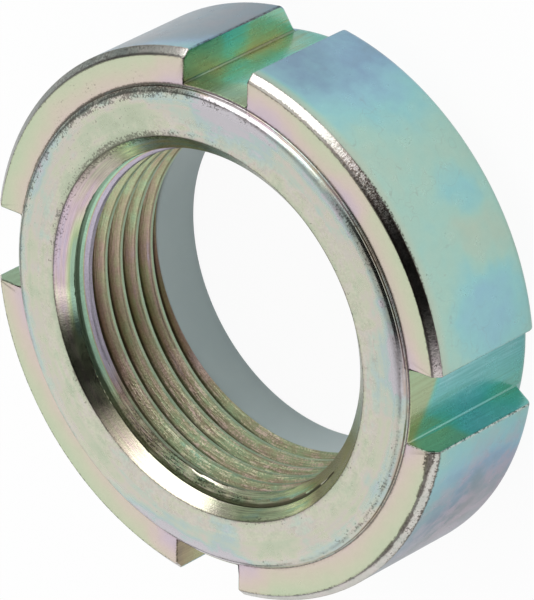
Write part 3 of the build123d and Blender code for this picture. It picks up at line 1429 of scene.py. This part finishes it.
@dataclass
class Studio:
    """Pale floor, soft even light with one lamp, cards that only the metal mirrors, and the camera."""

    focus: tuple[float, float, float] = (0.0, 0.0, 6.5 * MM)
    floor_size: float = 6.0
    floor_grey: float = 0.78
    floor_white_seen: float = 0.94
    floor_white_mirrored: float = 0.25
    world_level: float = 0.95
    cards: tuple[Card, ...] = (
        Card("bright_card", -74.0, 34.0, 0.30, 0.255, 0.15, 3.0),
        Card("camera_side_flag", -157.0, 43.0, 0.30, 0.24, 0.185, 0.005),
        Card("camera_side_shade", -157.0, 43.0, 0.34, 0.39, 0.33, 0.45),
        Card("overhead_shade", 0.0, 90.0, 0.35, 0.40, 0.40, 0.62),
        Card("far_side_flag", -8.0, 17.0, 0.20, 0.29, 0.13, 0.42),
        Card("horizon_gap", 62.0, 7.0, 0.20, 0.07, 0.05, 0.12),
        Card("near_side_shade", -24.0, 43.0, 0.28, 0.12, 0.11, 0.25),
    )
    # Azimuth and elevation in degrees, and distance from the focus in metres
    lamp_place: tuple[float, float, float] = (-55.0, 27.5, 0.30)
    lamp_size: float = 0.12
    lamp_watts: float = 0.32
    camera_place: tuple[float, float, float] = (-298.932 * MM, -233.235 * MM, 363.397 * MM)
    # The camera's own X, Y and Z directions
    camera_axes: tuple[tuple[float, float, float], ...] = (
        (-0.76072, -0.016716, -0.64886),
        (0.30232, -0.89374, -0.33141),
        (-0.57437, -0.44828, 0.68494),
    )
    lens: float = 480.9
    sensor_width: float = 36.0

    def _aim(self, item: bpy.types.Object, azimuth: float, elevation: float, distance: float) -> None:
        """Puts an object beside the nut and turns it towards it.

        Args:
            item: The card or lamp.
            azimuth: Its direction from the nut, in degrees from +X.
            elevation: Its height above the floor's plane, in degrees.
            distance: Its distance in metres.
        """
        flat, lift = math.radians(azimuth), math.radians(elevation)
        towards = Vector((math.cos(lift) * math.cos(flat), math.cos(lift) * math.sin(flat), math.sin(lift)))
        item.location = Vector(self.focus) + towards * distance
        item.rotation_euler = (item.location - Vector(self.focus)).to_track_quat("Z", "Y").to_euler()

    def build_floor(self) -> None:
        """Adds the pale floor, which shows white and keeps the nut's shadow."""
        material, graph = new_material("pale_floor")
        shader = graph.tree.nodes["Principled BSDF"]
        graph.feed(shader, {
            "Base Color": (self.floor_grey, self.floor_grey, self.floor_grey, 1),
            "Roughness": 0.9,
            "Specular IOR Level": 0.0,
        })
        rays = graph.node("ShaderNodeLightPath")
        share = graph.out(rays, "Is Camera Ray") * self.floor_white_seen
        share = share + graph.out(rays, "Is Glossy Ray") * self.floor_white_mirrored
        inputs = {0: share, 1: graph.out(shader, "BSDF"), 2: self._glow(graph, 1.0)}
        mixed = graph.out(graph.node("ShaderNodeMixShader", None, inputs))
        graph.feed(graph.tree.nodes["Material Output"], {"Surface": mixed})
        floor = add_sheet("floor", self.floor_size, self.floor_size, material)

    @staticmethod
    def _glow(graph: Graph, level: float) -> Signal:
        """White light of this level."""
        return graph.out(graph.node("ShaderNodeEmission", None, {"Color": (1, 1, 1, 1), "Strength": level}))

    def build_cards(self) -> None:
        """Adds the lights and flags."""
        for card in self.cards:
            material, graph = new_material(card.name)
            graph.tree.nodes.remove(graph.tree.nodes["Principled BSDF"])
            graph.feed(graph.tree.nodes["Material Output"], {"Surface": self._glow(graph, card.level)})
            sheet = add_sheet(card.name, card.width, card.height, material)
            self._aim(sheet, card.azimuth, card.elevation, card.distance)
            sheet.visible_camera = sheet.visible_shadow = sheet.visible_diffuse = False

    def build_lamp(self) -> None:
        """Adds the soft lamp that reaches over the rim into the bore. The metal doesn't mirror it."""
        data = bpy.data.lights.new("soft_lamp", "AREA")
        data.size = self.lamp_size
        data.energy = self.lamp_watts
        lamp = add_object("soft_lamp", data)
        self._aim(lamp, *self.lamp_place)
        lamp.visible_glossy = False

    def build_world(self) -> None:
        """Lights the scene evenly, and shows white where the camera or the metal looks past the floor."""
        world = bpy.data.worlds.new("studio")
        world.use_nodes = True
        graph = Graph(world.node_tree)
        rays = graph.node("ShaderNodeLightPath")
        direct = graph.out(rays, "Is Camera Ray")
        for kind in ("Is Glossy Ray", "Is Transmission Ray"):
            direct = direct.math("MAXIMUM", graph.out(rays, kind))
        level = direct * (1.0 - self.world_level) + self.world_level
        graph.feed(world.node_tree.nodes["Background"], {"Color": (1, 1, 1, 1), "Strength": level})
        bpy.context.scene.world = world

    def build_camera(self) -> None:
        """Adds the camera at the photograph's viewing angle."""
        data = bpy.data.cameras.new("camera")
        data.lens = self.lens
        data.sensor_width = self.sensor_width
        camera = add_object("camera", data)
        rotation = Matrix(self.camera_axes).transposed().to_4x4()
        camera.matrix_world = Matrix.Translation(Vector(self.camera_place)) @ rotation
        bpy.context.scene.camera = camera

    def build(self) -> None:
        """Sets up the whole studio and plain colour management."""
        self.build_floor()
        self.build_cards()
        self.build_lamp()
        self.build_world()
        self.build_camera()
        bpy.context.scene.view_settings.view_transform = "Standard"


def stand_for(piece: bpy.types.Object, node: str, slot: str) -> None:
    """Lets a finished piece stand for a CAD node.

    Args:
        piece: The finished object.
        node: The CAD node that it replaces.
        slot: The record's material slot.
    """
    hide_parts(node)
    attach(piece, "root")
    log.info("%s stands for %s, finish %s, %d faces", piece.name, node, slot, len(piece.data.polygons))


def main() -> None:
    """Builds the nut's two pieces and the studio."""
    logging.basicConfig(level=logging.INFO, format="%(name)s: %(message)s")
    stand_for(NutBody().build(PlatedSteel().material()), "nut_body", "plated_steel")
    stand_for(LockingRing().build(Polyamide().material()), "locking_ring", "polyamide")
    Studio().build()


if __name__ == "__main__":
    main()
